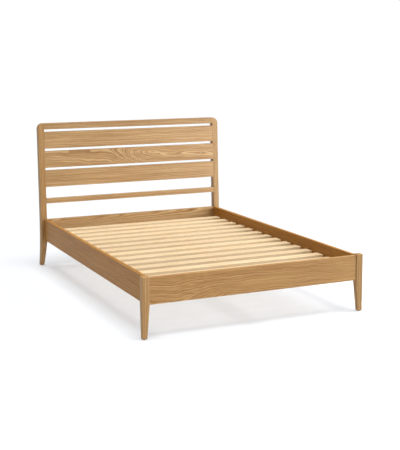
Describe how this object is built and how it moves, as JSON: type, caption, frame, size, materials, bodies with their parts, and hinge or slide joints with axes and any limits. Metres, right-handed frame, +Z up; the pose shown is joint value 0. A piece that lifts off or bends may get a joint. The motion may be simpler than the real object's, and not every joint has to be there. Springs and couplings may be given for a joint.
{
  "type": "wooden bed frame",
  "caption": "Low oak double bed frame with a raked slatted headboard, plain side rails, tapered legs and a slatted base.",
  "frame": {"origin": "On the floor, under the middle of the frame's bounding box.", "axes": "Seen from the foot of the bed, +X is to the right and +Y runs along the bed to the headboard. +Z is up."},
  "size_m": [1.45, 2.0496, 1.05],
  "materials": {
    "oak_post": "satin lacquered solid oak, grain upright",
    "oak_board": "satin lacquered solid oak, grain along the board",
    "pine_slat": "planed, unfinished pine",
    "beech_dowel": "plain beech dowel",
    "zinc_steel": "bright zinc plated steel",
    "nylon_glide": "moulded dark nylon"
  },
  "bodies": {
    "root": {"beam_hanger_foot": "zinc_steel", "beam_hanger_head": "zinc_steel", "bracket_bolt_foot_left_1": "zinc_steel", "bracket_bolt_foot_left_2": "zinc_steel", "bracket_bolt_foot_right_1": "zinc_steel", "bracket_bolt_foot_right_2": "zinc_steel", "bracket_bolt_head_left_1": "zinc_steel", "bracket_bolt_head_left_2": "zinc_steel", "bracket_bolt_head_right_1": "zinc_steel", "bracket_bolt_head_right_2": "zinc_steel", "centre_beam": "pine_slat", "centre_leg": "oak_post", "corner_bracket_foot_left": "zinc_steel", "corner_bracket_foot_right": "zinc_steel", "corner_bracket_head_left": "zinc_steel", "corner_bracket_head_right": "zinc_steel", "foot_post_left": "oak_post", "foot_post_right": "oak_post", "footboard_panel": "oak_board", "glide_centre": "nylon_glide", "glide_foot_left": "nylon_glide", "glide_foot_right": "nylon_glide", "glide_head_left": "nylon_glide", "glide_head_right": "nylon_glide", "hanger_screw_foot_left": "zinc_steel", "hanger_screw_foot_right": "zinc_steel", "hanger_screw_head_left": "zinc_steel", "hanger_screw_head_right": "zinc_steel", "head_cross_rail": "oak_board", "head_end_rail": "oak_board", "head_post_left": "oak_post", "head_post_right": "oak_post", "headboard_board_lower": "oak_board", "headboard_board_middle": "oak_board", "headboard_board_upper": "oak_board", "headboard_top_rail": "oak_board", "rail_dowel_foot_left": "beech_dowel", "rail_dowel_foot_right": "beech_dowel", "rail_dowel_head_left": "beech_dowel", "rail_dowel_head_right": "beech_dowel", "side_rail_left": "oak_board", "side_rail_right": "oak_board", "slat_01": "pine_slat", "slat_02": "pine_slat", "slat_03": "pine_slat", "slat_04": "pine_slat", "slat_05": "pine_slat", "slat_06": "pine_slat", "slat_07": "pine_slat", "slat_08": "pine_slat", "slat_09": "pine_slat", "slat_10": "pine_slat", "slat_11": "pine_slat", "slat_12": "pine_slat", "slat_13": "pine_slat", "slat_14": "pine_slat", "slat_ledger_left": "pine_slat", "slat_ledger_right": "pine_slat"}
  },
  "joints": []
}
